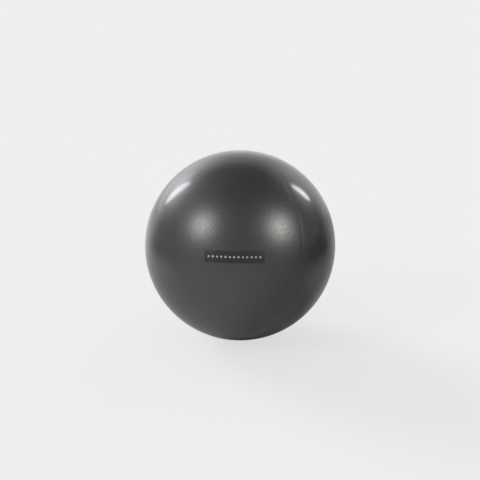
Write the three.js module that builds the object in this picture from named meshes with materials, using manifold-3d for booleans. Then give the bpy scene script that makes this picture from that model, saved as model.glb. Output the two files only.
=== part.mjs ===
// An inflated pilates ball at rest on a floor: a thin soft skin cast in one piece, a valve insert
// fused to the inside of the skin, the stopper that is pushed into the valve, and a printed patch.
// Millimetres, +Z up. The origin is the middle of the flat spot that the ball rests on,
// and +X points out of the valve.
import * as THREE from "three";
import { mergeVertices } from "three/addons/utils/BufferGeometryUtils.js";
import Module from "manifold-3d";

const wasm = await Module();
wasm.setup();

// Skin
const ballDiameter = 230;
const skinWall = 1;
const restSpotDiameter = 28; // how much of the ball its own weight presses flat
const seamWidth = 1.8; // the fine groove that the closing line of the mould leaves round the skin
const seamDepth = 0.08;
const seamTilt = 9.7; // degrees that the closing line leans from square to the valve

// Valve insert
const fitGap = 0.3; // between pieces that are fused or pushed together
const boreDiameter = 5.6; // takes the stopper, or a pump nozzle once the stopper is out
const boreLength = 18; // from the seat of the stopper's head to the inner end
const stemWall = 2.2;
const stemFillet = 1.5;
const seatDepth = 1.6; // the seat of the stopper's head, below the surface of the ball
const rimWidth = 2.6; // the ring of insert that shows round the head
const flangeOverlap = 6; // how far the flange reaches under the skin
const flangeThickness = 1.6;
const flangeEdgeThickness = 0.7;
const insertChamfer = 0.5;
const nailNotchDiameter = 4.4; // a scoop in the rim, to get a fingernail under the head
const nailNotchDepth = 1.3;

// Stopper
const headDiameter = 12;
const headProud = 0.6; // above the surface of the ball
const headCrown = 0.4;
const headChamfer = 0.35;
const dimpleDiameter = 3.4; // where the moulding was fed
const dimpleDepth = 0.4;
const shankLength = 15.5;
const tipDiameter = 3.2;
const tipLength = 1.4;
const sealCount = 3; // rings round the shank that grip the bore
const sealPitch = 3.6;
const sealWidth = 1.4;
const sealHeight = 0.3;
const firstSealDepth = 3.4; // below the head

// Printed patch
const patchWidth = 70;
const patchHeight = 14;
const patchThickness = 0.2;
const patchBond = 0.1; // between the film and the skin
const patchAzimuth = -41.4; // degrees round from -Y, towards +X
const patchElevation = 13.4; // degrees up from the middle of the ball

// Facets
const skinSegments = 60;
const skinRings = 30;
const turnedSegments = 32;
const arcSteps = 4;
const patchStep = 4;

// What follows from the sizes above
const ballRadius = ballDiameter / 2;
const hollowRadius = ballRadius - skinWall;
const centreHeight = Math.sqrt(ballRadius ** 2 - (restSpotDiameter / 2) ** 2);
const boreRadius = boreDiameter / 2;
const headRadius = headDiameter / 2;
const seatRadius = headRadius + fitGap;
const collarRadius = seatRadius + rimWidth;
const openingRadius = collarRadius + fitGap;
const seatX = ballRadius - seatDepth;
const facetSag = hollowRadius * (1 - Math.cos(Math.PI / skinSegments) * Math.cos(Math.PI / 2 / skinRings));

const point = (x, y) => new THREE.Vector2(x, y);

// How far out along the valve's axis a sphere about the ball's centre lies, at a radius from that axis.
const outAlongAxis = (sphereRadius, radius) => Math.sqrt(sphereRadius ** 2 - radius ** 2);

// Points on such a sphere, from one radius to another.
function dome(sphereRadius, fromRadius, toRadius) {
  return Array.from({ length: arcSteps + 1 }, (_, i) => {
    const radius = THREE.MathUtils.lerp(fromRadius, toRadius, i / arcSteps);
    return point(radius, outAlongAxis(sphereRadius, radius));
  });
}

// A closed profile of (radius, place along the axis), turned about +X.
function turned(profile) {
  return new THREE.LatheGeometry(profile, turnedSegments).rotateZ(-Math.PI / 2);
}

// A closed geometry as a solid that can be cut.
function solidOf(geometry) {
  geometry.deleteAttribute("normal");
  geometry.deleteAttribute("uv");
  const merged = mergeVertices(geometry);
  const vertProperties = merged.attributes.position.array;
  const triVerts = new Uint32Array(merged.index.array);
  return new wasm.Manifold(new wasm.Mesh({ numProp: 3, vertProperties, triVerts }));
}

function geometryOf(solid) {
  const { vertProperties, triVerts } = solid.getMesh();
  const geometry = new THREE.BufferGeometry();
  geometry.setAttribute("position", new THREE.BufferAttribute(vertProperties, 3));
  geometry.setIndex(new THREE.BufferAttribute(triVerts, 1));
  geometry.computeVertexNormals();
  return geometry;
}

function piece(name, geometry, color, roughness) {
  const mesh = new THREE.Mesh(geometry, new THREE.MeshStandardMaterial({ color, roughness, metalness: 0 }));
  mesh.name = name;
  return mesh;
}

// Everything above a level, measured up from the ball's centre.
function above(level) {
  const block = new THREE.BoxGeometry(2 * ballDiameter, 2 * ballDiameter, 2 * ballDiameter);
  return solidOf(block.translate(0, 0, ballDiameter + level));
}

// A ball whose poles lie on the mould's axis, nicked at its equator by the mould's closing line.
function mouldedBall(radius, nickWidth, nickDepth) {
  const nickAngle = nickWidth / 2 / radius;
  const quarterRings = skinRings / 2;
  const quarter = Array.from({ length: quarterRings + 1 }, (_, i) => {
    const fromPole = ((Math.PI / 2 - nickAngle) * i) / quarterRings;
    return point(radius * Math.sin(fromPole), radius * Math.cos(fromPole));
  });
  const farQuarter = quarter.map((p) => point(p.x, -p.y));
  const profile = [...farQuarter, point(radius - nickDepth, 0), ...quarter.reverse()];
  const ball = new THREE.LatheGeometry(profile, skinSegments).rotateZ(-Math.PI / 2);
  return solidOf(ball.rotateY(THREE.MathUtils.degToRad(seamTilt)));
}

// The skin: a hollow ball, flat where it rests, with the hole that the valve shows through.
function ballSkin() {
  const outside = mouldedBall(ballRadius, seamWidth, seamDepth).intersect(above(-centreHeight));
  const inside = mouldedBall(hollowRadius, seamWidth, 0).intersect(above(skinWall - centreHeight));
  const hole = new THREE.CylinderGeometry(openingRadius, openingRadius, ballRadius, turnedSegments)
    .rotateZ(-Math.PI / 2)
    .translate(ballRadius, 0, 0);
  return geometryOf(outside.subtract(inside).subtract(solidOf(hole)));
}

// The insert: a collar that fills the hole, a flange under the skin and a stem that holds the bore.
function valveInsert() {
  const stemRadius = boreRadius + stemWall;
  const stemEndX = seatX - boreLength;
  const filletRadius = stemRadius + stemFillet;
  const flangeRadius = openingRadius + flangeOverlap;
  const flangeTop = hollowRadius - facetSag - fitGap;
  const flangeUnderX = outAlongAxis(flangeTop - flangeThickness, filletRadius);
  const profile = [
    point(boreRadius, stemEndX),
    point(stemRadius - insertChamfer, stemEndX),
    point(stemRadius, stemEndX + insertChamfer),
    ...Array.from({ length: arcSteps + 1 }, (_, i) => {
      const angle = ((Math.PI / 2) * i) / arcSteps;
      const radius = filletRadius - stemFillet * Math.cos(angle);
      return point(radius, flangeUnderX - stemFillet * (1 - Math.sin(angle)));
    }),
    point(flangeRadius, outAlongAxis(flangeTop - flangeEdgeThickness, flangeRadius)),
    ...dome(flangeTop, flangeRadius, collarRadius),
    ...dome(ballRadius, collarRadius, seatRadius),
    point(seatRadius, seatX),
    point(boreRadius + insertChamfer, seatX),
    point(boreRadius, seatX - insertChamfer),
    point(boreRadius, stemEndX),
  ];
  const notchRadius = nailNotchDiameter / 2;
  const notch = new THREE.SphereGeometry(notchRadius, turnedSegments, turnedSegments / 2)
    .translate(ballRadius + notchRadius - nailNotchDepth, 0, seatRadius);
  return geometryOf(solidOf(turned(profile)).subtract(solidOf(notch)));
}

// The stopper: a crowned head in its seat, and a shank whose rings grip the bore.
function valvePlug() {
  const headUnderX = seatX + fitGap;
  const headTopX = ballRadius + headProud;
  const tipX = headUnderX - shankLength;
  const sealRadius = boreRadius - fitGap;
  const shankRadius = sealRadius - sealHeight;
  const tipRadius = tipDiameter / 2;
  const dimpleRadius = dimpleDiameter / 2;
  const crownX = (radius) => headTopX - headCrown * (radius / headRadius) ** 2;
  const seals = Array.from({ length: sealCount }, (_, i) => {
    const sealX = headUnderX - firstSealDepth - (sealCount - 1 - i) * sealPitch;
    return [
      point(shankRadius, sealX - sealWidth / 2),
      point(sealRadius, sealX - sealWidth / 4),
      point(sealRadius, sealX + sealWidth / 4),
      point(shankRadius, sealX + sealWidth / 2),
    ];
  });
  const profile = [
    point(0, tipX),
    point(tipRadius - headChamfer, tipX),
    point(tipRadius, tipX + headChamfer),
    point(shankRadius, tipX + tipLength),
    ...seals.flat(),
    point(shankRadius, headUnderX - headChamfer),
    point(shankRadius + headChamfer, headUnderX),
    point(headRadius - headChamfer, headUnderX),
    point(headRadius, headUnderX + headChamfer),
    point(headRadius, crownX(headRadius) - headChamfer),
    point(headRadius - headChamfer, crownX(headRadius)),
    ...Array.from({ length: arcSteps + 1 }, (_, i) => {
      const radius = THREE.MathUtils.lerp(headRadius - 2 * headChamfer, dimpleRadius, i / arcSteps);
      return point(radius, crownX(radius));
    }),
    point(dimpleRadius / 2, headTopX - dimpleDepth),
    point(0, headTopX - dimpleDepth),
  ];
  return turned(profile);
}

// The patch: a thin film that follows the ball, with its middle on +Z before it is placed.
function printPatch() {
  const across = Math.ceil(patchWidth / patchStep);
  const up = Math.ceil(patchHeight / patchStep);
  const film = new THREE.BoxGeometry(patchWidth, patchHeight, patchThickness, across, up);
  const corner = new THREE.Vector3();
  const places = film.attributes.position;
  for (let i = 0; i < places.count; i++) {
    corner.fromBufferAttribute(places, i);
    const radius = ballRadius + patchBond + patchThickness / 2 + corner.z;
    corner.setFromSphericalCoords(radius, Math.PI / 2 - corner.y / ballRadius, corner.x / ballRadius);
    places.setXYZ(i, corner.x, corner.y, corner.z);
  }
  film.computeVertexNormals();
  return film;
}

const patch = piece("print_patch", printPatch(), 0x2b2c2e, 0.45);
patch.rotation.set(
  THREE.MathUtils.degToRad(90 - patchElevation),
  0,
  THREE.MathUtils.degToRad(patchAzimuth),
  "ZYX",
);

const ball = new THREE.Group();
ball.position.z = centreHeight;
ball.add(
  piece("ball_skin", ballSkin(), 0x3b3d40, 0.4),
  piece("valve_insert", valveInsert(), 0x313336, 0.45),
  piece("valve_plug", valvePlug(), 0x26272a, 0.4),
  patch,
);

const part = new THREE.Group();
part.add(ball);
export default part;
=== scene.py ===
import math

import bmesh
import bpy
from mathutils import Matrix, Vector


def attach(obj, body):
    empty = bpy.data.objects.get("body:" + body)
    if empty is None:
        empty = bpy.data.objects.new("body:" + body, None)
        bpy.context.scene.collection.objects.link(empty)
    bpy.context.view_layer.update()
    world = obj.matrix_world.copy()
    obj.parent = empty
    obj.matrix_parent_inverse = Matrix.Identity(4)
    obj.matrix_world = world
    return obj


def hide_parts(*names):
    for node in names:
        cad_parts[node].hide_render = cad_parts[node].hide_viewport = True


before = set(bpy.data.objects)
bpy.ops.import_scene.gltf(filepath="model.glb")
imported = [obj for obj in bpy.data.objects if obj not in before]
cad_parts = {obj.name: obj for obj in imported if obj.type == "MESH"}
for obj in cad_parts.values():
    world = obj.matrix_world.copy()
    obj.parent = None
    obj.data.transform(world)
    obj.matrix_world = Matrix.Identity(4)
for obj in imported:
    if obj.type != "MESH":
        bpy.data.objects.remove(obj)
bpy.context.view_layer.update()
scene = bpy.context.scene
scene.view_settings.view_transform = "Standard"
mm = 0.001
numberA, numberB = 2, 3  # sockets of a Mix node, which keeps a set of them for each kind of value
colorA, colorB, colorOut = 6, 7, 2


# Small helpers

def hexColor(text):  # sRGB hex to linear RGBA
    parts = [int(text[i:i + 2], 16) / 255 for i in (1, 3, 5)]
    return [p / 12.92 if p <= 0.04045 else ((p + 0.055) / 1.055) ** 2.4 for p in parts] + [1.0]


def addNode(tree, kind, inputs=(), **settings):  # inputs are given in order, or by place or name
    node = tree.nodes.new(kind)
    for name, value in settings.items():
        setattr(node, name, value)
    for key, value in inputs.items() if isinstance(inputs, dict) else enumerate(inputs):
        if isinstance(value, bpy.types.Node):  # a node stands for its first output
            value = value.outputs[0]
        if isinstance(value, bpy.types.NodeSocket):
            tree.links.new(value, node.inputs[key])
        else:
            node.inputs[key].default_value = value
    return node


def newMaterial(name):
    material = bpy.data.materials.new(name)
    material.use_nodes = True
    material.node_tree.nodes.clear()
    return material, material.node_tree


def newTree(name, sizes):  # a Geometry Nodes tree with one named input for each size, in millimetres
    tree = bpy.data.node_groups.new(name, "GeometryNodeTree")
    tree.interface.new_socket("Geometry", in_out="OUTPUT", socket_type="NodeSocketGeometry")
    for key, value in sizes.items():
        kind = "NodeSocketInt" if isinstance(value, int) else "NodeSocketFloat"
        tree.interface.new_socket(key, in_out="INPUT", socket_type=kind)
    tree.interface.new_socket("material", in_out="INPUT", socket_type="NodeSocketMaterial")
    return tree, addNode(tree, "NodeGroupInput").outputs


def endTree(tree, geometry, size):  # to metres, smooth, one mesh, one material
    scaled = addNode(tree, "GeometryNodeTransform", {"Geometry": geometry, "Scale": (mm, mm, mm)})
    smooth = addNode(tree, "GeometryNodeSetShadeSmooth", [scaled])
    real = addNode(tree, "GeometryNodeRealizeInstances", [smooth])
    painted = addNode(tree, "GeometryNodeSetMaterial", {"Geometry": real, "Material": size["material"]})
    addNode(tree, "NodeGroupOutput", [painted])


def plainObject(name, mesh):
    thing = bpy.data.objects.new(name, mesh)
    scene.collection.objects.link(thing)
    return thing


def grow(name, tree, sizes, material):  # runs a tree once and keeps its plain mesh
    thing = plainObject(name, bpy.data.meshes.new(name))
    modifier = thing.modifiers.new("shape", "NODES")
    modifier.node_group = tree
    values = {**sizes, "material": material}
    for socket in tree.interface.items_tree:
        if socket.in_out == "INPUT":
            modifier[socket.identifier] = values[socket.name]
    dressed = thing.evaluated_get(bpy.context.evaluated_depsgraph_get())
    mesh = bpy.data.meshes.new_from_object(dressed)
    thing.modifiers.remove(modifier)
    thing.data = mesh
    return thing


def placePiece(piece, body, node=None):
    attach(piece, body)
    if node:
        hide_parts(node)
    print("made", piece.name, len(piece.data.polygons), "faces, rides", body)


# The skin, cast in one piece in a turning mould

skin = dict(
    radius=115.0,
    wall=1.0,
    restSpot=28.0,  # what the ball's own weight presses flat
    restSoftness=0.5,
    seamWidth=5.0,  # the closing line of the mould
    seamDepth=0.12,
    seamPlainest=160.0,  # degrees round the line, from +Y over the top, where it is deepest
    seamFull=0.97,  # cosine of the angle from there within which it keeps its full depth
    seamFaded=0.7,  # and of the angle past which it has faded
    seamLeast=0.3,  # to this share of its depth
    seamTilt=9.7,  # degrees from square to the valve
    leanFrom=25.0,  # degrees from the line towards the valve where that tilt starts to die away
    leanEnd=75.0,
    opening=9.2,  # radius of the hole for the valve
    lipRounding=0.3,
    evenness=0.15,  # of the rings; the rest crowds them at the closing line and at the hole
    around=289,
    rowsOutside=200,
    rowsOverLip=6,
    rowsInside=44,
    weld=0.001,
)
skin["along"] = 1 + skin["rowsOutside"] + skin["rowsOverLip"] + skin["rowsInside"]
skin["centreHeight"] = math.sqrt(skin["radius"] ** 2 - (skin["restSpot"] / 2) ** 2)
ballCentre = Vector((0, 0, skin["centreHeight"] * mm))


def growSkin(material):
    tree, size = newTree("castSkin", skin)
    rows = skin["along"] - 1
    turnAt = skin["rowsOutside"] / rows  # share of the rows at which the lip starts
    lipEnd = turnAt + skin["rowsOverLip"] / rows
    sheet = addNode(tree, "GeometryNodeMeshGrid", [1, 1, size["around"], size["along"]])
    spot = addNode(tree, "ShaderNodeSeparateXYZ", [addNode(tree, "GeometryNodeInputPosition")])
    round360 = [spot.outputs["X"], 2 * math.pi, math.pi]
    turn = addNode(tree, "ShaderNodeMath", round360, operation="MULTIPLY_ADD")
    row = addNode(tree, "ShaderNodeMath", [spot.outputs["Y"], 0.5], operation="ADD")
    outside = addNode(tree, "ShaderNodeMapRange", [row, 0, turnAt, 0, 1])
    inside = addNode(tree, "ShaderNodeMapRange", [row, lipEnd, 1, 1, 0])
    through = addNode(tree, "ShaderNodeMapRange", [row, turnAt, lipEnd, 0, 1])
    way = addNode(tree, "ShaderNodeMath", [outside, inside], operation="MINIMUM")
    # -1 at the far pole, 0 at the closing line, 1 at the hole
    side = addNode(tree, "ShaderNodeMath", [way, 2, -1], operation="MULTIPLY_ADD")
    share = addNode(tree, "ShaderNodeMath", [side], operation="ABSOLUTE")
    eased = addNode(tree, "ShaderNodeMapRange", [share, 0, 1, 0, 1], interpolation_type="SMOOTHSTEP")
    spread = addNode(tree, "ShaderNodeMix", {0: size["evenness"], numberA: eased, numberB: share})
    sign = addNode(tree, "ShaderNodeMath", [side], operation="SIGN")
    signed = addNode(tree, "ShaderNodeMath", [spread, sign], operation="MULTIPLY")

    # latitude: from the far pole round to the lip of the hole, which is rounded through the wall
    lipRadius = addNode(tree, "ShaderNodeMath", [size["opening"], size["lipRounding"]], operation="ADD")
    lipSine = addNode(tree, "ShaderNodeMath", [lipRadius, size["radius"]], operation="DIVIDE")
    lipAngle = addNode(tree, "ShaderNodeMath", [lipSine], operation="ARCSINE")
    near = addNode(tree, "ShaderNodeMath", [side, 0], operation="GREATER_THAN")
    short = addNode(tree, "ShaderNodeMath", [near, lipAngle], operation="MULTIPLY")
    reach = addNode(tree, "ShaderNodeMath", [math.pi / 2, short], operation="SUBTRACT")
    across = addNode(tree, "ShaderNodeMath", [through, 2, -1], operation="MULTIPLY_ADD")
    across4 = addNode(tree, "ShaderNodeMath", [across, 4], operation="POWER")
    bulge = addNode(tree, "ShaderNodeMath", [1, across4], operation="SUBTRACT")
    lipStep = addNode(tree, "ShaderNodeMath", [size["lipRounding"], size["radius"]], operation="DIVIDE")
    lip = addNode(tree, "ShaderNodeMath", [bulge, lipStep], operation="MULTIPLY")
    latitude = addNode(tree, "ShaderNodeMath", [signed, reach, lip], operation="MULTIPLY_ADD")

    # distance from the middle, with the groove of the closing line
    fromSeam = addNode(tree, "ShaderNodeMath", [latitude, size["radius"]], operation="MULTIPLY")
    halfWidth = addNode(tree, "ShaderNodeMath", [size["seamWidth"], 0.5], operation="MULTIPLY")
    inWidths = addNode(tree, "ShaderNodeMath", [fromSeam, halfWidth], operation="DIVIDE")
    squared = addNode(tree, "ShaderNodeMath", [inWidths, inWidths], operation="MULTIPLY")
    falling = addNode(tree, "ShaderNodeMath", [squared, -1], operation="MULTIPLY")
    bell = addNode(tree, "ShaderNodeMath", [falling], operation="EXPONENT")
    plainest = addNode(tree, "ShaderNodeMath", [size["seamPlainest"]], operation="RADIANS")
    away = addNode(tree, "ShaderNodeMath", [turn, plainest], operation="SUBTRACT")
    facing = addNode(tree, "ShaderNodeMath", [away], operation="COSINE")
    fade = [facing, size["seamFaded"], size["seamFull"], size["seamLeast"], 1]
    left = addNode(tree, "ShaderNodeMapRange", fade, interpolation_type="SMOOTHSTEP")
    depth = addNode(tree, "ShaderNodeMath", [left, size["seamDepth"]], operation="MULTIPLY")
    groove = addNode(tree, "ShaderNodeMath", [bell, depth], operation="MULTIPLY")
    outer = addNode(tree, "ShaderNodeMath", [size["radius"], groove], operation="SUBTRACT")
    inner = addNode(tree, "ShaderNodeMath", [size["radius"], size["wall"]], operation="SUBTRACT")
    distance = addNode(tree, "ShaderNodeMix", {0: through, numberA: outer, numberB: inner})

    # the place on the ball
    cosLat = addNode(tree, "ShaderNodeMath", [latitude], operation="COSINE")
    sinLat = addNode(tree, "ShaderNodeMath", [latitude], operation="SINE")
    cosTurn = addNode(tree, "ShaderNodeMath", [turn], operation="COSINE")
    sinTurn = addNode(tree, "ShaderNodeMath", [turn], operation="SINE")
    sideways = addNode(tree, "ShaderNodeMath", [cosLat, cosTurn], operation="MULTIPLY")
    upwards = addNode(tree, "ShaderNodeMath", [cosLat, sinTurn], operation="MULTIPLY")
    heading = addNode(tree, "ShaderNodeCombineXYZ", [sinLat, sideways, upwards])
    ball = addNode(tree, "ShaderNodeVectorMath", {0: heading, "Scale": distance}, operation="SCALE")

    # the mould leans, the hole for the valve does not
    tilt = addNode(tree, "ShaderNodeMath", [size["seamTilt"]], operation="RADIANS")
    dying = [latitude, math.radians(skin["leanFrom"]), math.radians(skin["leanEnd"]), tilt, 0]
    lean = addNode(tree, "ShaderNodeMapRange", dying, interpolation_type="SMOOTHSTEP")
    swung = {"Vector": ball, "Angle": lean}
    leaning = addNode(tree, "ShaderNodeVectorRotate", swung, rotation_type="Y_AXIS")

    # pressed flat where it rests
    place = addNode(tree, "ShaderNodeSeparateXYZ", [leaning])
    lifted = addNode(tree, "ShaderNodeMath", [place.outputs["Z"], size["centreHeight"]], operation="ADD")
    floorHere = addNode(tree, "ShaderNodeMath", [through, size["wall"]], operation="MULTIPLY")
    heights = [lifted, floorHere, size["restSoftness"]]
    pressed = addNode(tree, "ShaderNodeMath", heights, operation="SMOOTH_MAX")
    final = addNode(tree, "ShaderNodeCombineXYZ", [place.outputs["X"], place.outputs["Y"], pressed])
    moved = addNode(tree, "GeometryNodeSetPosition", {"Geometry": sheet, "Position": final})
    closed = addNode(tree, "GeometryNodeMergeByDistance", {"Geometry": moved, "Distance": size["weld"]})
    endTree(tree, closed, size)
    return grow("ball_skin_cast", tree, skin, material)


# Turned pieces of the valve

def roundCorners(corners, steps=6, mostCut=0.48):  # (radius, place along the axis, rounding) in millimetres
    outline = []
    for i, (radius, along, rounding) in enumerate(corners):
        here = Vector((radius, along))
        if not rounding:
            outline.append(here)
            continue
        back = Vector(corners[i - 1][:2]) - here
        ahead = Vector(corners[(i + 1) % len(corners)][:2]) - here
        cut = min(rounding, mostCut * back.length, mostCut * ahead.length)  # two corners share a side
        start = here + back.normalized() * cut
        end = here + ahead.normalized() * cut
        for n in range(steps + 1):
            t = n / steps
            outline.append(start * (1 - t) ** 2 + here * 2 * t * (1 - t) + end * t * t)
    return outline


def turnPiece(name, outline, closed, segments, material, carve=None):  # turned about the valve's axis, +X
    bm = bmesh.new()
    rings = []
    for radius, along in outline:
        count = segments if radius else 1
        ring = []
        for n in range(count):
            angle = 2 * math.pi * n / count
            spot = Vector((along, radius * math.cos(angle), radius * math.sin(angle)))
            ring.append(bm.verts.new((carve(spot) if carve else spot) * mm + ballCentre))
        rings.append(ring)
    pairs = list(zip(rings, rings[1:])) + ([(rings[-1], rings[0])] if closed else [])
    for a, b in pairs:
        for n in range(segments):
            corner = [a[n % len(a)], a[(n + 1) % len(a)], b[(n + 1) % len(b)], b[n % len(b)]]
            bm.faces.new(list(dict.fromkeys(corner))).smooth = True
    bmesh.ops.recalc_face_normals(bm, faces=bm.faces)
    mesh = bpy.data.meshes.new(name)
    bm.to_mesh(mesh)
    bm.free()
    mesh.materials.append(material)
    return plainObject(name, mesh)


insert = dict(
    boreRadius=2.8,
    boreLength=18.0,
    boreMouth=0.5,  # rounding where the bore meets the seat
    stemRadius=5.0,
    stemFillet=1.5,
    stemEdge=0.5,  # rounding of its inner end
    seatX=113.4,  # along the valve's axis, from the middle of the ball
    seatRadius=6.3,
    seatCorner=0.15,
    collarRadius=8.9,
    collarFoot=0.2,  # rounding where the collar stands on the flange
    collarRows=11,
    flangeRadius=15.2,
    flangeTop=113.39,  # radius of its upper face about the middle of the ball
    flangeThickness=1.6,
    flangeEdge=0.7,
    flangeRim=0.25,  # rounding of that edge
    flangeMiddle=12.0,  # one more row, which keeps the upper face on its curve
    rounding=0.3,
    notchRadius=2.2,  # a scoop for a fingernail
    notchDepth=1.3,
    notchStep=0.25,  # what it leaves above the seat
    segments=192,
)


def turnInsert(material):
    s = insert

    def onSphere(sphere, radius):  # how far out along the axis a sphere lies
        return math.sqrt(sphere ** 2 - radius ** 2)

    stemEnd = s["seatX"] - s["boreLength"]
    underside = onSphere(s["flangeTop"] - s["flangeThickness"], s["stemRadius"] + s["stemFillet"])
    corners = [
        (s["boreRadius"], stemEnd, s["rounding"]),
        (s["stemRadius"], stemEnd, s["stemEdge"]),
        (s["stemRadius"], underside, s["stemFillet"]),
        (s["flangeRadius"], onSphere(s["flangeTop"] - s["flangeEdge"], s["flangeRadius"]), s["flangeRim"]),
        (s["flangeRadius"], onSphere(s["flangeTop"], s["flangeRadius"]), s["flangeRim"]),
        (s["flangeMiddle"], onSphere(s["flangeTop"], s["flangeMiddle"]), 0),
        (s["collarRadius"], onSphere(s["flangeTop"], s["collarRadius"]), s["collarFoot"]),
        (s["collarRadius"], onSphere(skin["radius"], s["collarRadius"]), s["rounding"]),
    ]
    for n in range(1, s["collarRows"]):
        radius = s["collarRadius"] + (s["seatRadius"] - s["collarRadius"]) * n / s["collarRows"]
        corners.append((radius, onSphere(skin["radius"], radius), 0))
    corners += [
        (s["seatRadius"], onSphere(skin["radius"], s["seatRadius"]), s["rounding"]),
        (s["seatRadius"], s["seatX"], s["seatCorner"]),
        (s["boreRadius"], s["seatX"], s["boreMouth"]),
    ]
    notchX = skin["radius"] + s["notchRadius"] - s["notchDepth"]

    def carve(spot):  # presses the top of the collar down into the scoop
        off = s["notchRadius"] ** 2 - spot.y ** 2 - (spot.z - s["seatRadius"]) ** 2
        if off <= 0 or spot.x < s["seatX"] + s["notchStep"]:
            return spot
        deep = notchX - math.sqrt(off)
        return Vector((min(spot.x, deep), spot.y, spot.z))

    return turnPiece("valve_insert_moulded", roundCorners(corners), True, s["segments"], material, carve)


plug = dict(
    headRadius=6.0,
    headUnder=113.7,  # along the valve's axis, from the middle of the ball
    headTop=115.6,
    headCrown=0.4,
    headRounding=0.45,
    underRounding=0.35,  # below the head, at its rim and at the shank
    crownRows=6,
    dimpleRadius=1.7,  # where the moulding was fed
    dimpleDepth=0.4,
    dimpleFloor=0.5,  # share of its radius that is flat
    dimpleRim=0.3,  # rounding
    dimpleCorner=0.4,
    shankRadius=2.2,
    shankLength=15.5,
    tipRadius=1.6,
    tipLength=1.4,
    tipRounding=0.5,
    taperRounding=0.4,
    sealRadius=2.5,  # rings that grip the bore
    sealCount=3,
    sealPitch=3.6,
    sealWidth=1.4,
    sealCrest=0.4,  # share of that width that touches the bore
    sealRounding=0.2,
    firstSeal=3.4,  # below the head
    segments=96,
)


def turnPlug(material):
    s = plug
    tip = s["headUnder"] - s["shankLength"]

    def crown(radius):
        return s["headTop"] - s["headCrown"] * (radius / s["headRadius"]) ** 2

    corners = [
        (0, tip, 0),
        (s["tipRadius"], tip, s["tipRounding"]),
        (s["shankRadius"], tip + s["tipLength"], s["taperRounding"]),
    ]
    foot = s["sealWidth"] / 2
    crest = foot * s["sealCrest"]
    seal = [("shankRadius", -foot), ("sealRadius", -crest), ("sealRadius", crest), ("shankRadius", foot)]
    for n in reversed(range(s["sealCount"])):
        middle = s["headUnder"] - s["firstSeal"] - n * s["sealPitch"]
        corners += [(s[radius], middle + off, s["sealRounding"]) for radius, off in seal]
    corners += [
        (s["shankRadius"], s["headUnder"], s["underRounding"]),
        (s["headRadius"], s["headUnder"], s["underRounding"]),
        (s["headRadius"], crown(s["headRadius"]), s["headRounding"]),
    ]
    for n in range(1, s["crownRows"]):
        radius = s["headRadius"] + (s["dimpleRadius"] - s["headRadius"]) * n / s["crownRows"]
        corners.append((radius, crown(radius), 0))
    corners += [
        (s["dimpleRadius"], crown(s["dimpleRadius"]), s["dimpleRim"]),
        (s["dimpleRadius"] * s["dimpleFloor"], s["headTop"] - s["dimpleDepth"], s["dimpleCorner"]),
        (0, s["headTop"] - s["dimpleDepth"], 0),
    ]
    return turnPiece("valve_plug_moulded", roundCorners(corners), False, s["segments"], material)


# The printed patch, a thin film of ink that follows the ball

patch = dict(
    width=70.0,
    height=14.0,
    bond=0.1,  # between the skin and the ink
    thickness=0.2,
    edgeFade=0.8,  # where the ink thins out at its border
    edgeShare=0.25,  # of its thickness that is left there
    azimuth=-41.4,  # degrees round from -Y, towards +X
    elevation=13.4,
    step=0.5,
)
toBall = (
    Matrix.Translation(ballCentre)
    @ Matrix.Rotation(math.radians(patch["azimuth"]), 4, "Z")
    @ Matrix.Rotation(math.radians(90 - patch["elevation"]), 4, "X")
)


def layPatch(material):
    s = patch
    columns = round(s["width"] / s["step"])
    rows = round(s["height"] / s["step"])
    bm = bmesh.new()

    def corner(i, j, thickness):
        x = s["width"] * (i / columns - 0.5)
        y = s["height"] * (j / rows - 0.5)
        toEdge = min(s["width"] / 2 - abs(x), s["height"] / 2 - abs(y))
        thinned = min(1, s["edgeShare"] + (1 - s["edgeShare"]) * toEdge / s["edgeFade"])
        out = skin["radius"] + s["bond"] + thickness * thinned
        turn = x / skin["radius"]
        rise = y / skin["radius"]
        spot = Vector((math.sin(turn) * math.cos(rise), math.sin(rise), math.cos(turn) * math.cos(rise)))
        return bm.verts.new(toBall @ (spot * out * mm))

    def border(sheet):  # its corners in order round the edge
        ends = [row[-1] for row in sheet[1:]]
        starts = [row[0] for row in sheet[-2:0:-1]]
        return sheet[0] + ends + sheet[-1][-2::-1] + starts

    under = [[corner(i, j, 0) for i in range(columns + 1)] for j in range(rows + 1)]
    top = [[corner(i, j, s["thickness"]) for i in range(columns + 1)] for j in range(rows + 1)]
    for sheet in (under, top):
        for low, high in zip(sheet, sheet[1:]):
            for i in range(columns):
                bm.faces.new((low[i], low[i + 1], high[i + 1], high[i])).smooth = True
    lower = border(under)
    upper = border(top)
    for n in range(len(lower)):
        bm.faces.new((lower[n - 1], lower[n], upper[n], upper[n - 1])).smooth = True
    bmesh.ops.recalc_face_normals(bm, faces=bm.faces)
    mesh = bpy.data.meshes.new("print_patch_film")
    bm.to_mesh(mesh)
    bm.free()
    mesh.materials.append(material)
    return plainObject("print_patch_film", mesh)


dots = dict(
    count=13,
    pitch=5.0,
    dotRadius=1.2,
    sides=32,
    thickness=0.06,
    level=115.3,  # radius of the patch's face about the middle of the ball
)


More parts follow.
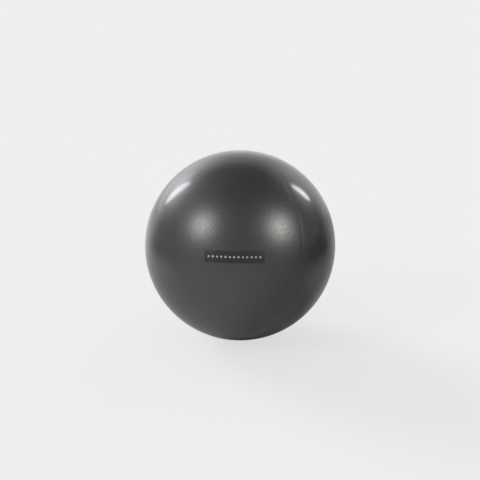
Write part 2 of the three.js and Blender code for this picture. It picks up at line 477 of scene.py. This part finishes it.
def growDots(material):  # a plain row of dots along the middle of the patch
    tree, size = newTree("dotRow", dots)
    last = addNode(tree, "ShaderNodeMath", [size["count"], -1], operation="ADD")
    length = addNode(tree, "ShaderNodeMath", [last, size["pitch"]], operation="MULTIPLY")
    first = addNode(tree, "ShaderNodeMath", [length, -0.5], operation="MULTIPLY")
    start = addNode(tree, "ShaderNodeCombineXYZ", [first, 0, 0])
    gap = addNode(tree, "ShaderNodeCombineXYZ", [size["pitch"], 0, 0])
    places = {"Count": size["count"], "Start Location": start, "Offset": gap}
    line = addNode(tree, "GeometryNodeMeshLine", places)
    disc = {"Vertices": size["sides"], "Radius": size["dotRadius"], "Depth": size["thickness"]}
    dot = addNode(tree, "GeometryNodeMeshCylinder", disc)
    row = addNode(tree, "GeometryNodeInstanceOnPoints", {"Points": line, "Instance": dot})
    real = addNode(tree, "GeometryNodeRealizeInstances", [row])

    # bent over the ball
    spot = addNode(tree, "ShaderNodeSeparateXYZ", [addNode(tree, "GeometryNodeInputPosition")])
    out = addNode(tree, "ShaderNodeMath", [spot.outputs["Z"], size["level"]], operation="ADD")
    turn = addNode(tree, "ShaderNodeMath", [spot.outputs["X"], size["level"]], operation="DIVIDE")
    rise = addNode(tree, "ShaderNodeMath", [spot.outputs["Y"], size["level"]], operation="DIVIDE")
    back = addNode(tree, "ShaderNodeMath", [rise, -1], operation="MULTIPLY")
    upright = addNode(tree, "ShaderNodeCombineXYZ", [0, 0, out])
    lift = {"Vector": upright, "Angle": back}
    raised = addNode(tree, "ShaderNodeVectorRotate", lift, rotation_type="X_AXIS")
    swing = {"Vector": raised, "Angle": turn}
    turned = addNode(tree, "ShaderNodeVectorRotate", swing, rotation_type="Y_AXIS")
    laid = addNode(tree, "GeometryNodeSetPosition", {"Geometry": real, "Position": turned})
    endTree(tree, laid, size)
    dotRow = grow("print_dots", tree, dots, material)
    dotRow.data.transform(toBall)
    return dotRow


# Materials, with their patterns and relief in millimetres

# pebble, grit and the mesh of the screen are drawn coarser than the real ones, so that they show
noiseSpan = (0.3, 0.7)  # what a Noise Texture mostly gives
castVinyl = dict(  # plasticised PVC, slush cast in a blasted mould: a dark satin with a fine pebble
    name="cast soft PVC",
    pebble=2.2,
    pebbleHeight=0.08,
    grit=2.4,
    gritDetail=2,
    cloud=30.0,  # the cast is never quite even
    cloudDetail=3,
    tones=("#3d3d3d", "#424242"),
    roughness=(0.35, 0.43),
    ior=1.52,
    satin=0.5,  # specular level, seen straight on
    turning=(0.2, 0.5),  # seen low, the pebble hides itself and the satin turns to a shine
    shineRoughness=0.15,
)


def makeCastVinyl():
    s = castVinyl
    material, tree = newMaterial(s["name"])
    where = addNode(tree, "ShaderNodeTexCoord").outputs["Object"]
    cells = {"Vector": where, "Scale": 1 / (s["pebble"] * mm)}
    pebble = addNode(tree, "ShaderNodeTexVoronoi", cells, feature="SMOOTH_F1")
    fine = {"Vector": where, "Scale": 1 / (s["grit"] * mm), "Detail": s["gritDetail"]}
    grit = addNode(tree, "ShaderNodeTexNoise", fine)
    broad = {"Vector": where, "Scale": 1 / (s["cloud"] * mm), "Detail": s["cloudDetail"]}
    cloud = addNode(tree, "ShaderNodeTexNoise", broad)
    low, high = [hexColor(tone) for tone in s["tones"]]
    tone = addNode(tree, "ShaderNodeMix", {0: cloud, colorA: low, colorB: high}, data_type="RGBA")
    gloss = addNode(tree, "ShaderNodeMapRange", [grit, *noiseSpan, *s["roughness"]])
    relief = {"Height": pebble, "Distance": s["pebbleHeight"] * mm, "Strength": 1}
    bump = addNode(tree, "ShaderNodeBump", relief)
    glancing = addNode(tree, "ShaderNodeLayerWeight", {"Blend": 0.5}).outputs["Facing"]
    fading = [glancing, *s["turning"], s["satin"], 0]
    satin = addNode(tree, "ShaderNodeMapRange", fading, interpolation_type="SMOOTHSTEP")
    growing = [glancing, *s["turning"], 0, 1]
    shine = addNode(tree, "ShaderNodeMapRange", growing, interpolation_type="SMOOTHSTEP")
    vinyl = addNode(tree, "ShaderNodeBsdfPrincipled", {
        "Base Color": tone.outputs[colorOut],
        "Roughness": gloss,
        "IOR": s["ior"],
        "Normal": bump,
        "Specular IOR Level": satin,
        "Coat Weight": shine,
        "Coat Roughness": s["shineRoughness"],
        "Coat IOR": s["ior"],
    })
    addNode(tree, "ShaderNodeOutputMaterial", [vinyl])
    return material


valveVinyl = dict(  # softer PVC, injection moulded and polished by its tool: a little darker and smoother
    name="moulded soft PVC",
    grit=0.6,
    gritDetail=3,
    cloud=5.0,
    cloudDetail=2,
    swirl=0.0,
    tones=("#2e2e2e", "#343434"),
    roughness=(0.36, 0.46),
    relief=0.02,
    ior=1.53,
)
plugPlastic = dict(  # low density polyethylene, moulded: waxy, with faint flow marks
    name="polyethylene",
    grit=0.5,
    gritDetail=2,
    cloud=3.0,
    cloudDetail=3,
    swirl=0.6,
    tones=("#272727", "#2d2d2d"),
    roughness=(0.33, 0.42),
    relief=0.012,
    ior=1.51,
)
screenInk = dict(  # screen printing ink for vinyl: flat, with the mesh of the screen just felt
    grit=0.8,
    gritDetail=2,
    cloud=9.0,
    cloudDetail=3,
    swirl=0.0,
    roughness=(0.5, 0.6),
    relief=0.015,
    ior=1.48,
)
darkInk = dict(screenInk, name="screen ink, black", tones=("#1f2123", "#252729"))
paleInk = dict(screenInk, name="screen ink, pale grey", tones=("#a8a8a8", "#b4b4b4"))


def makeFinish(s):  # a fine grit under a cloudy tone
    material, tree = newMaterial(s["name"])
    where = addNode(tree, "ShaderNodeTexCoord").outputs["Object"]
    fine = {"Vector": where, "Scale": 1 / (s["grit"] * mm), "Detail": s["gritDetail"]}
    grit = addNode(tree, "ShaderNodeTexNoise", fine)
    broad = {"Vector": where, "Scale": 1 / (s["cloud"] * mm), "Detail": s["cloudDetail"]}
    cloud = addNode(tree, "ShaderNodeTexNoise", {**broad, "Distortion": s["swirl"]})
    low, high = [hexColor(tone) for tone in s["tones"]]
    tone = addNode(tree, "ShaderNodeMix", {0: cloud, colorA: low, colorB: high}, data_type="RGBA")
    gloss = addNode(tree, "ShaderNodeMapRange", [grit, *noiseSpan, *s["roughness"]])
    bump = addNode(tree, "ShaderNodeBump", {"Height": grit, "Distance": s["relief"] * mm, "Strength": 1})
    finish = addNode(tree, "ShaderNodeBsdfPrincipled", {
        "Base Color": tone.outputs[colorOut],
        "Roughness": gloss,
        "IOR": s["ior"],
        "Normal": bump,
    })
    addNode(tree, "ShaderNodeOutputMaterial", [finish])
    return material


# Camera at the photograph's angle

view = dict(
    azimuth=-38.0,  # degrees round from -Y, towards +X
    elevation=20.0,
    distance=2.0,  # metres from where it aims
    lens=123.95,
    raised=6.3,  # millimetres that it aims above the middle of the ball
    moved=-0.16,  # and to the right of it
    clipEnd=60.0,
)
turn = math.radians(view["azimuth"])
rise = math.radians(view["elevation"])
toCamera = Vector((math.sin(turn) * math.cos(rise), -math.cos(turn) * math.cos(rise), math.sin(rise)))
toRight = Vector((math.cos(turn), math.sin(turn), 0))
toTop = toCamera.cross(toRight)
behind = Vector((-toCamera.x, -toCamera.y, 0)).normalized()
eye = bpy.data.objects.new("camera", bpy.data.cameras.new("camera"))
scene.collection.objects.link(eye)
eye.data.lens = view["lens"]
eye.data.clip_end = view["clipEnd"]
aim = ballCentre + toTop * view["raised"] * mm + toRight * view["moved"] * mm
eyeAxes = Matrix((toRight, toTop, toCamera)).transposed().to_4x4()
eye.matrix_world = Matrix.Translation(aim + toCamera * view["distance"]) @ eyeAxes
scene.camera = eye


# Pale paper floor, with painted light and shade in what the ball sees of it

paper = dict(
    size=60.0,
    near="#bebebe",  # what the ball sees of it: a painted shade near the ball and to its front and right
    # painted light: the paler tone the ball sees towards the left rear
    far="#f2f2f2",
    paintedLightRamp=(0.1, 0.5),  # from here to there, in metres towards the left rear, it goes from the painted shade to the painted light
    sides=(0.7, 0.98),  # straight out to either side a painted shade darkens it; sine of the direction
    reach=(0.25, 0.7),  # and this far out
    # painted shade: the dark tone the ball sees far out to the sides
    paintedSideShade="#505050",
    shown=0.17,  # what the camera sees of it: a shaded share and a plain one
    glow=0.68,
    pale="#eeeeee",  # and what it sees beyond it
)


def layFloor():  # uncoated paper; the camera sees it as a pale ground that keeps the shadows
    material, tree = newMaterial("white paper")
    where = addNode(tree, "ShaderNodeTexCoord").outputs["Object"]

    # painted light: paler towards the left rear, so the ball sees the floor lit there
    leftRear = (behind - toRight).normalized()
    back = addNode(tree, "ShaderNodeVectorMath", [where, leftRear], operation="DOT_PRODUCT")
    paintedLightRamp = [back.outputs["Value"], *paper["paintedLightRamp"], 0, 1]
    share = addNode(tree, "ShaderNodeMapRange", paintedLightRamp, interpolation_type="SMOOTHSTEP")
    tones = {0: share, colorA: hexColor(paper["near"]), colorB: hexColor(paper["far"])}
    tone = addNode(tree, "ShaderNodeMix", tones, data_type="RGBA")

    # painted shade: darker far out to the sides
    sideways = addNode(tree, "ShaderNodeVectorMath", [where, toRight], operation="DOT_PRODUCT")
    wide = addNode(tree, "ShaderNodeMath", [sideways.outputs["Value"]], operation="ABSOLUTE")
    out = addNode(tree, "ShaderNodeVectorMath", [where], operation="LENGTH").outputs["Value"]
    sine = addNode(tree, "ShaderNodeMath", [wide, out], operation="DIVIDE")
    sides = [sine, *paper["sides"], 0, 1]
    side = addNode(tree, "ShaderNodeMapRange", sides, interpolation_type="SMOOTHSTEP")
    farther = [out, *paper["reach"], 0, 1]
    reach = addNode(tree, "ShaderNodeMapRange", farther, interpolation_type="SMOOTHSTEP")
    paintedShadeMask = addNode(tree, "ShaderNodeMath", [side, reach], operation="MULTIPLY")
    ends = {0: paintedShadeMask, colorA: tone.outputs[colorOut], colorB: hexColor(paper["paintedSideShade"])}
    paintedFloorTone = addNode(tree, "ShaderNodeMix", ends, data_type="RGBA")
    lit = addNode(tree, "ShaderNodeBsdfDiffuse", [paintedFloorTone.outputs[colorOut]])

    # what the camera sees
    shaded = addNode(tree, "ShaderNodeBsdfDiffuse", [(paper["shown"],) * 3 + (1,)])
    glow = addNode(tree, "ShaderNodeEmission", {"Color": (1, 1, 1, 1), "Strength": paper["glow"]})
    seen = addNode(tree, "ShaderNodeAddShader", [shaded, glow])
    camera = addNode(tree, "ShaderNodeLightPath").outputs["Is Camera Ray"]
    mixed = addNode(tree, "ShaderNodeMixShader", [camera, lit, seen])
    addNode(tree, "ShaderNodeOutputMaterial", [mixed])

    bm = bmesh.new()
    bmesh.ops.create_grid(bm, x_segments=1, y_segments=1, size=paper["size"] / 2)
    mesh = bpy.data.meshes.new("floor")
    bm.to_mesh(mesh)
    bm.free()
    mesh.materials.append(material)
    floor = plainObject("floor", mesh)


# Soft studio light: four lamps that show in the skin, and five that shade it, three of them with shadows

lamps = dict(  # aim is to the camera's right, up and towards the camera; wide, high and turn are in degrees
    frontLeft=dict(aim=(-0.70, 0.368, 0.61), wide=20, strength=2.4, color="#fffefb"),
    frontRight=dict(aim=(0.726, 0.329, 0.604), wide=19, strength=2.65, color="#fffdf9"),
    rearLeft=dict(aim=(-0.674, 0.583, -0.458), wide=24, high=10, turn=-38, strength=0.31, color="#ffffff"),
    rearRight=dict(aim=(0.697, 0.611, -0.388), wide=18, high=7.2, turn=34, strength=0.29, color="#fdfeff"),
    mainShade=dict(aim=(-0.69, 0.54, -0.482), wide=26, strength=2.7, shade=True, shadow=True),
    sideShade=dict(aim=(-0.7207, 0.3678, 0.5874), wide=18, strength=0.8, shade=True, shadow=True),
    overhead=dict(aim=(0, 0.94, 0.342), wide=130, strength=1.1, shade=True, shadow=True),
    lowFill=dict(aim=(-0.6, -0.55, 0.58), wide=20, strength=1.8, shade=True),
    frontFill=dict(aim=(0.1, 0.1, 0.99), wide=60, strength=0.15, shade=True),
)
lampDistance = 5.0


def hangLamps():
    for name, s in lamps.items():
        toLamp = (toRight * s["aim"][0] + toTop * s["aim"][1] + toCamera * s["aim"][2]).normalized()
        across = toCamera.cross(toLamp).normalized()
        axes = Matrix((across, toLamp.cross(across), toLamp)).transposed().to_4x4()
        if "high" in s:  # an oval softbox, turned about its own axis
            lamp = bpy.data.lights.new(name, "AREA")
            lamp.shape = "ELLIPSE"
            lamp.size = 2 * lampDistance * math.tan(math.radians(s["wide"] / 2))
            lamp.size_y = 2 * lampDistance * math.tan(math.radians(s["high"] / 2))
            lamp.energy = s["strength"] * math.pi * lampDistance ** 2
            axes = axes @ Matrix.Rotation(math.radians(s["turn"]), 4, "Z")
        else:
            lamp = bpy.data.lights.new(name, "SUN")
            lamp.angle = math.radians(s["wide"])
            lamp.energy = s["strength"]
        lamp.color = hexColor(s.get("color", "#ffffff"))[:3]
        lamp.use_shadow = s.get("shadow", False)
        thing = bpy.data.objects.new(name, lamp)
        thing.matrix_world = Matrix.Translation(ballCentre + toLamp * lampDistance) @ axes
        thing.visible_glossy = not s.get("shade", False)
        thing.visible_diffuse = s.get("shade", False)
        scene.collection.objects.link(thing)


# The pale wall behind and its brighter, faintly cool sides, as soft round panels

neutral, cool = "#ffffff", "#f3f8ff"
# degrees right of straight behind, degrees up, degrees to its inner and its outer edge, light, colour
panels = dict(
    back=(0, 0, 32, 60, 0.7, neutral),
    backLeft=(-18, -2, 10, 40, 0.27, neutral),
    backRight=(20, 0, 10, 40, 0.32, neutral),
    leftGlow=(-56, 28, 6, 30, 0.85, cool),
    leftHalo=(-52, 26, 2, 16, 1.2, cool),
    leftUp=(-34, 24, 8, 30, 0.63, cool),
    leftWide=(-40, 14, 8, 34, 0.47, neutral),
    leftFar=(-34, 4, 6, 30, 0.38, neutral),
    leftEdge=(-38, 22, 3, 14, 1.55, cool),
    rightGlow=(46, 30, 2, 32, 1.0, cool),
    rightWide=(46, 16, 8, 34, 0.11, neutral),
    rightLow=(72, 6, 6, 30, 0.24, neutral),
    rightEdge=(56, 26, 3, 14, 0.55, cool),
    right=(100, 10, 10, 45, 0.26, neutral),
)


def makeWorld():
    world = bpy.data.worlds.new("studio")
    scene.world = world
    world.use_nodes = True
    tree = world.node_tree
    tree.nodes.clear()
    way = addNode(tree, "ShaderNodeTexCoord").outputs["Generated"]
    light = (0, 0, 0)
    for azimuth, elevation, inner, outer, strength, color in panels.values():
        a = math.radians(azimuth)
        e = math.radians(elevation)
        level = behind * math.cos(a) + toRight * math.sin(a)
        middle = level * math.cos(e) + Vector((0, 0, math.sin(e)))
        near = addNode(tree, "ShaderNodeVectorMath", [way, middle], operation="DOT_PRODUCT").outputs["Value"]
        off = addNode(tree, "ShaderNodeMath", [near], operation="ARCCOSINE")
        edges = [off, math.radians(inner), math.radians(outer), strength, 0]
        panel = addNode(tree, "ShaderNodeMapRange", edges, interpolation_type="SMOOTHSTEP")
        glow = {0: hexColor(color)[:3], "Scale": panel}
        tinted = addNode(tree, "ShaderNodeVectorMath", glow, operation="SCALE")
        light = addNode(tree, "ShaderNodeVectorMath", [light, tinted], operation="ADD")
    studio = addNode(tree, "ShaderNodeBackground", {"Color": light, "Strength": 1})
    pale = addNode(tree, "ShaderNodeBackground", {"Color": hexColor(paper["pale"]), "Strength": 1})
    seen = addNode(tree, "ShaderNodeLightPath").outputs["Is Camera Ray"]
    mixed = addNode(tree, "ShaderNodeMixShader", [seen, studio, pale])
    addNode(tree, "ShaderNodeOutputWorld", [mixed])


# Making it all

placePiece(growSkin(makeCastVinyl()), "ball", "ball_skin")
placePiece(turnInsert(makeFinish(valveVinyl)), "ball", "valve_insert")
placePiece(turnPlug(makeFinish(plugPlastic)), "plug", "valve_plug")
placePiece(layPatch(makeFinish(darkInk)), "ball", "print_patch")
placePiece(growDots(makeFinish(paleInk)), "ball")

layFloor()
hangLamps()
makeWorld()
print("floor, lamps and world made")
